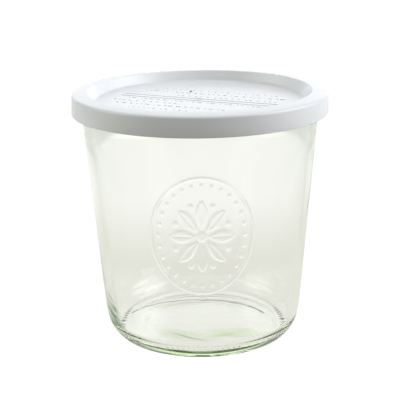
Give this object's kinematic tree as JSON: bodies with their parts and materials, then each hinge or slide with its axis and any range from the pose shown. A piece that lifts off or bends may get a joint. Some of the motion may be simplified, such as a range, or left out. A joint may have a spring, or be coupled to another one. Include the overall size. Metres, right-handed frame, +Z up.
{
  "type": "storage jar",
  "caption": "Clear glass preserving jar with a straight taper and a raised ornament on its front, closed by a white plastic press-on cover.",
  "frame": {"origin": "centre of the ring that the jar stands on, at table height", "axes": "+Z up along the jar's axis, -Y towards the front with the raised ornament, +X to the right seen from the front"},
  "size_m": [0.1102, 0.1102, 0.1079],
  "materials": {
    "glass": "clear soda-lime glass with a faint green tint, smooth",
    "cover": "white moulded plastic, satin gloss"
  },
  "bodies": {
    "root": {"jar": "glass", "lid": "cover"}
  },
  "joints": []
}
